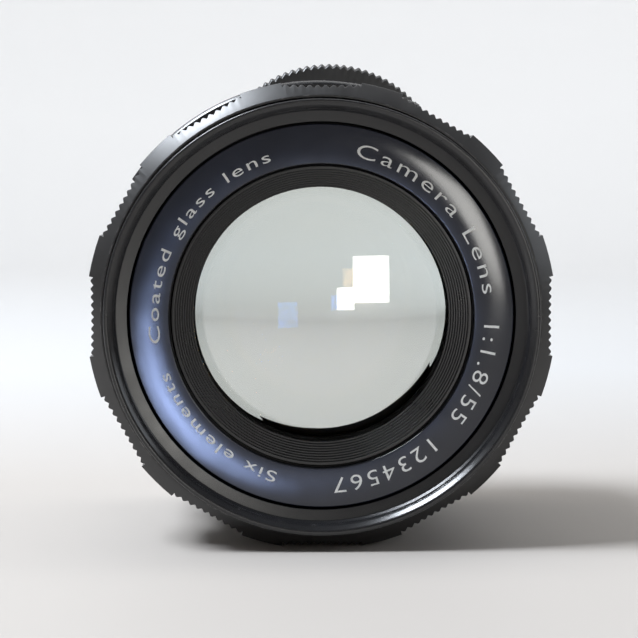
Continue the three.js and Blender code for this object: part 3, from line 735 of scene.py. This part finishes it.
def iris_blades():
    """Blued crescents, broad beside their own pins and slimmer where they pass the next one."""
    steps, heel_step, start_taper, end_taper = 60, 4.0, 2.5, 5.0
    angles = [BLADE_START + (BLADE_END - BLADE_START) * step / steps for step in range(steps + 1)]
    for number in range(1, BLADE_COUNT + 1):
        node = f"iris_blade_{number}"
        start = 360.0 / BLADE_COUNT * (number - 1)
        front = FIRST_BLADE_STATION + BLADE_PITCH * (number - 1)

        def section_at(angle):
            local = angle - start
            bend = max(0.0, min(1.0, (BLADE_HEEL_END + heel_step / 2 - local) / heel_step))
            outer = BLADE_TAIL_RADIUS + (BLADE_HEEL_RADIUS - BLADE_TAIL_RADIUS) * bend
            ends = min(1.0, (local - BLADE_START) / start_taper + 0.05, (BLADE_END - local) / end_taper + 0.02)
            narrow = (outer - BLADE_INNER) / 2 * (1.0 - math.sqrt(1.0 - (1.0 - ends) ** 2))
            inside, outside = BLADE_INNER + narrow, outer - narrow
            return [(inside, front, 0.0), (outside, front, 0.0),
                    (outside, front + BLADE_THICKNESS, 0.0), (inside, front + BLADE_THICKNESS, 0.0)]

        add_piece(f"{node}_smooth", bar_mesh(section_at, [start + angle for angle in angles]),
                  f"blade_{number}", BLADE_STEEL, (node,))


def inner_barrel():
    """A smooth tube, with two slots open to the rear for the guide keys."""
    (front, rear), radius, bore = stations("inner_barrel"), half_width("inner_barrel"), 21.2
    side_play, front_play, past_end = 0.3, 0.5, 1.0
    tube = add_ring("inner_barrel_turned", [(bore, front), (radius, front), (radius, rear), (bore, rear)],
                    "optics", MATT_BLACK, ("inner_barrel",))
    for key in ("guide_key_left", "guide_key_right"):
        middle, half = centre_of(key)
        slot_front, slot_rear = middle.y - half.y - front_play, rear + past_end
        centre = Vector((middle.x, (slot_front + slot_rear) / 2, 0.0))
        along = Vector((0.0, (slot_rear - slot_front) / 2, 0.0))
        across = Vector((4 * half.x, 0.0, 0.0))
        up = Vector((0.0, 0.0, half.z + side_play))
        cut_away(tube, [box_mesh(centre, along, across, up)])


def front_group():
    filter_ring()
    name_ring()
    front_baffle()
    inner_barrel()
    for node in ("front_cell", "front_spacer", "iris_housing", "rear_spacer"):
        return_ring(node, "optics", MATT_BLACK, 0.05)
    film_nanometres = {
        "front_element": 0.0, "second_element": 118.0, "third_element": 112.0,
        "fourth_element": 118.0, "fifth_element": 112.0, "rear_element": 118.0,
    }
    for node, film in film_nanometres.items():
        glass_element(node, film)
    for node in ("rear_cell", "rear_retainer"):
        return_ring(node, "optics", SATIN_BLACK)


# ---------- focus ring ----------

def tooth(place, height):
    """Height of a flat-topped tooth about its middle line: place runs from 0 to 1 across it."""
    return height * (min(1.0, 2.4 * min(place, 1.0 - place)) - 0.5)


def grip_radius(angle, land_radius):
    """Radius of the focus grip: a smooth land, then a hollow cut with teeth."""
    from_hollow = abs((angle + LAND_PITCH / 2) % LAND_PITCH - LAND_PITCH / 2)
    half_hollow = LAND_PITCH / 2 - LAND_HALF_ANGLE
    if from_hollow >= half_hollow - 1e-6:
        return land_radius
    across = 1.0 - from_hollow / half_hollow
    base = land_radius - HOLLOW_DIP * (0.45 + 0.55 * math.sin(across * math.pi / 2))
    start = (angle + half_hollow) % LAND_PITCH
    place = (start / (2 * half_hollow) * TEETH_PER_HOLLOW) % 1.0
    return base + tooth(place, TOOTH_HEIGHT)


def grip_angles():
    half_hollow = LAND_PITCH / 2 - LAND_HALF_ANGLE
    pitch = 2 * half_hollow / TEETH_PER_HOLLOW
    angles = []
    for land in range(LAND_COUNT):
        hollow = land * LAND_PITCH
        for number in range(TEETH_PER_HOLLOW):
            start = hollow - half_hollow + number * pitch
            angles += [start + pitch * share for share in TOOTH_SHARES]
        edge = hollow + half_hollow
        land_shares = (0.0, 0.04, 0.27, 0.5, 0.73, 0.96, 1.0)
        angles += [edge + 2 * LAND_HALF_ANGLE * share for share in land_shares]
    return sorted(angle % 360 for angle in angles)


def focus_ring():
    land, (front, rear) = half_width_of_lands(), stations("focus_ring")
    cone_start, cone_slope = FOCUS_RING_BORE + 0.25, 0.75

    def section_at(angle):
        grip = grip_radius(angle, land)
        return round_corners([
            (FOCUS_RING_BORE, front), (cone_start, front), (grip, front + cone_slope * (grip - cone_start)),
            (grip, GRIP_REAR - 0.6), (grip - 0.25, GRIP_REAR - 0.25), (BAND_RADIUS, GRIP_REAR),
            (BAND_RADIUS - 0.15, GRIP_REAR + 0.25), (BAND_RADIUS, GRIP_REAR + 0.5),
            (BAND_RADIUS, rear - 0.35), (BAND_RADIUS - 0.3, rear), (FOCUS_RING_BORE, rear),
        ], 0.07)

    ring = add_piece("focus_ring_knurled", ring_mesh(section_at, grip_angles()), "focus_group",
                     GRIP_BLACK, ("focus_ring",), KNURL_SHARP_ANGLE)
    focus_screws(ring)


def half_width_of_lands():
    """The lands' radius, from the box's half width and the angle of the land nearest the side."""
    return half_width("focus_ring") / math.cos(math.radians(LAND_PITCH / 2 - LAND_HALF_ANGLE))


# ---------- fixed rings and controls ----------

def focus_screws(ring):
    """Small slotted grub screws that clamp the ring to the helicoid, sunk in drilled holes."""
    foot_radius, height, bevel, play, below = 25.35, 1.1, 0.1, 0.12, 0.2
    half_slot, slot_depth = 0.09, 0.3
    for number in SCREW_NUMBERS:
        node = f"focus_screw_{number}"
        middle, half = centre_of(node)
        out = Vector((middle.x, 0.0, middle.z)).normalized()
        foot = out * foot_radius + Vector((0.0, middle.y, 0.0))
        radius = half.y
        shape = stud_mesh([(radius, 0.0), (radius, height - bevel), (radius - bevel, height)], foot, out, 24)
        screw = add_piece(f"{node}_slotted", shape, "focus_group", STEEL, (node,))
        slot = box_mesh(foot + out * height, REARWARD, REARWARD.cross(out) * half_slot, out * slot_depth)
        cut_away(screw, [slot])
        seat = [(radius + play, 0.0), (radius + play, 1.15), (radius + 0.4, 1.6)]
        cut_away(ring, [stud_mesh(seat, foot - out * below, out, 32)])


def depth_scale_ring():
    """A plain ring whose top arc stands up in a step at each end, to carry the depth-of-field scale."""
    front, rear = stations("depth_scale_ring")
    chamfer, step_angle = 0.4, 0.9

    def section_at(angle):
        signed = (angle + 180.0) % 360.0 - 180.0
        inside = min(signed - RAISED_ARC[0], RAISED_ARC[1] - signed)
        lift = max(0.0, min(1.0, inside / step_angle + 0.5))
        ease = lift * lift * (3 - 2 * lift)
        reach = SCALE_RING_RADIUS + (RAISED_ARC_RADIUS - SCALE_RING_RADIUS) * ease
        return round_corners([
            (CONTROL_RING_BORE, front), (reach - chamfer, front), (reach, front + chamfer),
            (reach, rear - chamfer), (reach - chamfer, rear), (CONTROL_RING_BORE, rear),
        ], 0.12)

    ends = [edge + 0.15 * step for edge in RAISED_ARC for step in range(-5, 6)]
    angles = sorted(set(round(angle % 360, 3) for angle in even_angles(FINE_TURN) + ends))
    add_piece("depth_scale_ring_raised", ring_mesh(section_at, angles), "barrel", SATIN_BLACK,
              ("depth_scale_ring",))


def aperture_ring():
    """A smooth band for the stops, then a knurled grip that swells into the ear."""
    front, rear = stations("aperture_ring")
    pitch = 360.0 / APERTURE_TEETH

    def section_at(angle):
        lobe = EAR_RADIUS * math.cos(math.radians(angle - EAR_ANGLE))
        crest = tooth(((angle - EAR_ANGLE) / pitch) % 1.0, TOOTH_HEIGHT)
        reach = max(APERTURE_GRIP_RADIUS, lobe) - 0.22 + crest
        return round_corners([
            (CONTROL_RING_BORE, front), (APERTURE_BAND_RADIUS - 0.2, front),
            (APERTURE_BAND_RADIUS, front + 0.2), (APERTURE_BAND_RADIUS, APERTURE_BAND_REAR - 0.05),
            (APERTURE_BAND_RADIUS + 0.05, APERTURE_BAND_REAR),
            (reach - 0.35, APERTURE_BAND_REAR + 0.05), (reach, APERTURE_BAND_REAR + 0.4),
            (reach, rear - 0.4), (reach - 0.35, rear), (CONTROL_RING_BORE, rear),
        ], 0.1)

    angles = [EAR_ANGLE + pitch * (number + share)
              for number in range(APERTURE_TEETH) for share in TOOTH_SHARES]
    add_piece("aperture_ring_knurled", ring_mesh(section_at, angles), "aperture_control", GRIP_BLACK,
              ("aperture_ring",), KNURL_SHARP_ANGLE)


def mount_flange():
    """The flange with its mount thread cut behind it, and three slotted screws in drilled seats."""
    front, rear = stations("mount_flange")
    disc = half_width("mount_flange")
    inside = round_corners([(MOUNT_BORE, front), (disc, front), (disc, FLANGE_STATION),
                            (MOUNT_THREAD_RADIUS - 0.35, FLANGE_STATION)], 0.06)
    thread = [(MOUNT_THREAD_RADIUS - 0.5, FLANGE_STATION)]
    thread += thread_grooves(MOUNT_THREAD_RADIUS, 0.55, FLANGE_STATION + 0.35, rear - 0.3,
                             MOUNT_THREAD_PITCH)
    thread += [(MOUNT_THREAD_RADIUS - 0.6, rear), (MOUNT_BORE, rear)]
    section = inside[:-3] + round_corners(thread, 0.04, 2)

    shape = ring_mesh(lambda angle: section, even_angles(MOUNT_FLANGE_TURN))
    flange = add_piece("mount_flange_threaded", shape, "barrel", SATIN_CHROME, ("mount_flange",))
    half_slot, slot_depth, play = 0.13, 0.4, 0.1
    for number in SCREW_NUMBERS:
        node = f"mount_screw_{number}"
        middle, half = centre_of(node)
        foot = middle - REARWARD * half.y
        length, radius = 2 * half.y, half.z
        shoulder = length - 0.25
        head = [(radius, 0.0), (radius, shoulder), (radius - 0.06, length - 0.08), (radius - 0.2, length)]
        shape = stud_mesh(head, foot, REARWARD)
        screw = add_piece(f"{node}_slotted", shape, "barrel", STEEL, (node,))
        across = Vector((middle.x, 0.0, middle.z)).normalized()
        slot = box_mesh(foot + REARWARD * length, across * 1.2, across.cross(REARWARD) * half_slot,
                        REARWARD * slot_depth)
        cut_away(screw, [slot])
        seat = [(radius + play, -0.3), (radius + play, shoulder), (radius + 0.45, length + 0.15)]
        cut_away(flange, [stud_mesh(seat, foot, REARWARD)])


def stop_down_pin():
    middle, half = centre_of("stop_down_pin")
    foot = middle - Vector((0.0, half.y, 0.0))
    length, radius = 2 * half.y, half.z
    nose = [(radius * math.cos(turn), length - radius + radius * math.sin(turn))
            for turn in (math.radians(15 * step) for step in range(6))]
    shape = stud_mesh([(radius, 0.0), (radius, length - radius - 0.02)] + nose, foot, REARWARD, 32)
    add_piece("stop_down_pin_rounded", shape, "pin", STEEL, ("stop_down_pin",),
              POLISHED_SHARP_ANGLE)


def mode_switch():
    """A low slide with ribs for the thumb across its top."""
    middle, _ = centre_of("mode_switch")
    front, rear = stations("mode_switch")
    inner, outer, half_angle, ribs, rib_height, steps = 27.05, 28.15, 4.0, 6, 0.22, 72
    angle = math.degrees(math.atan2(middle.x, middle.z))

    def section_at(place):
        across = (place - angle + half_angle) / (2 * half_angle) * ribs
        reach = outer - rib_height * (0.5 - 0.5 * math.cos(2 * math.pi * across))
        return round_corners([(inner, front), (reach, front), (reach, rear), (inner, rear)], 0.15)

    angles = [angle - half_angle + 2 * half_angle * step / steps for step in range(steps + 1)]
    add_piece("mode_switch_ribbed", bar_mesh(section_at, angles), "switch", SATIN_BLACK,
              ("mode_switch",))


def rear_baffle():
    """The blackened plate inside the mount, with a hole for the stop-down pin."""
    plate = return_ring("rear_baffle", "barrel", MATT_BLACK)
    middle, half = centre_of("stop_down_pin")
    front, rear = stations("rear_baffle")
    hole, past_face = half.z + 0.25, 1.0
    foot = Vector((middle.x, front - past_face, middle.z))
    drill = stud_mesh([(hole, 0.0), (hole, rear - front + 2 * past_face)], foot, REARWARD)
    cut_away(plate, [drill])


def fixed_body():
    depth_scale_ring()
    stop_down_pin()
    mode_switch()
    rear_baffle()
    return_ring("guide_barrel", "barrel", MATT_BLACK)
    return_ring("rear_collar", "barrel", SATIN_BLACK)
    mount_flange()
    return_ring("helicoid_ring", "focus_group", BRASS)
    return_ring("iris_cam_ring", "cam_ring", BRASS)


def focus_angle_for(distance):
    """The angle that a distance in millimetres from the film is engraved at, before the ring turns."""
    image = (distance - math.sqrt(distance * distance - 4 * FOCAL_LENGTH * distance)) / 2
    return INDEX_ANGLE - FULL_FOCUS_TURN * (image - FOCAL_LENGTH) / FULL_FOCUS_TRAVEL


def scales():
    """Distance, depth-of-field and aperture scales, all read against one index line."""
    focus, control = "focus_group", "aperture_control"
    numeral, tick_width = 1.5, 0.22
    metre_station, feet_station, depth_station, stop_station, letter_station = 21.1, 18.3, 25.1, 28.6, 36.9
    marks = [(word, focus_angle_for(MM_PER_METRE * float(word)), metre_station) for word in METRES]
    engrave_barrel("metre_scale", marks, BAND_RADIUS, numeral, focus, WHITE_FILL)
    marks = [(word, focus_angle_for(MM_PER_FOOT * float(word)), feet_station) for word in FEET]
    engrave_barrel("foot_scale", marks, BAND_RADIUS, numeral, focus, ORANGE_FILL)
    ticks = [(focus_angle_for(MM_PER_METRE * float(word)), 21.35, 21.9, tick_width) for word in METRES]
    ticks.append((INDEX_ANGLE, 20.6, 21.9, 0.3))
    add_piece("focus_ticks", tick_marks(ticks, BAND_RADIUS), focus, WHITE_FILL)

    sides = (-1, 1)
    steps = {"4": 8.0, "8": 16.0, "16": 32.0}
    marks = [(word, INDEX_ANGLE + side * turn, depth_station)
             for word, turn in steps.items() for side in sides]
    engrave_barrel("depth_numbers", marks, RAISED_ARC_RADIUS, 1.15, "barrel", WHITE_FILL)
    ticks = [(INDEX_ANGLE + side * turn, 23.15, 23.7, 0.2)
             for turn in (4.0, 8.0, 16.0, 24.0, 32.0) for side in sides]
    add_piece("depth_ticks", tick_marks(ticks, RAISED_ARC_RADIUS), "barrel", WHITE_FILL)
    index = tick_marks([(INDEX_ANGLE, 23.1, 25.3, 0.4)], RAISED_ARC_RADIUS)
    add_piece("index_line", index, "barrel", ORANGE_FILL)

    angles = [INDEX_ANGLE - STOP_SPACING * number for number in range(len(STOPS))]
    marks = [(word, angle, stop_station) for word, angle in zip(STOPS, angles)]
    engrave_barrel("aperture_numbers", marks, APERTURE_BAND_RADIUS, numeral, control, WHITE_FILL)
    ticks = [(angle, 26.35, 26.8, tick_width) for angle in angles]
    add_piece("aperture_ticks", tick_marks(ticks, APERTURE_BAND_RADIUS), control, WHITE_FILL)

    marks = [("A", -49.0, letter_station), ("M", -20.0, letter_station)]
    engrave_barrel("mode_letters", marks, half_width("rear_collar"), 1.4, "barrel", WHITE_FILL)


def finish_carried_nodes():
    """CAD nodes that stay in view keep their shape and get a finish."""
    finishes = {
        "base_barrel": MATT_BLACK, "stop_down_lever": STEEL, "guide_key_left": STEEL,
        "guide_key_right": STEEL, "aperture_detent_ball": STEEL,
    }
    for node, material in finishes.items():
        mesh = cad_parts[node].data
        mesh.materials.clear()
        mesh.materials.append(material)


add_camera()
add_stage()
front_group()
iris_blades()
focus_ring()
aperture_ring()
fixed_body()
scales()
finish_carried_nodes()
add_lights()

bpy.context.scene.view_settings.view_transform = "Standard"
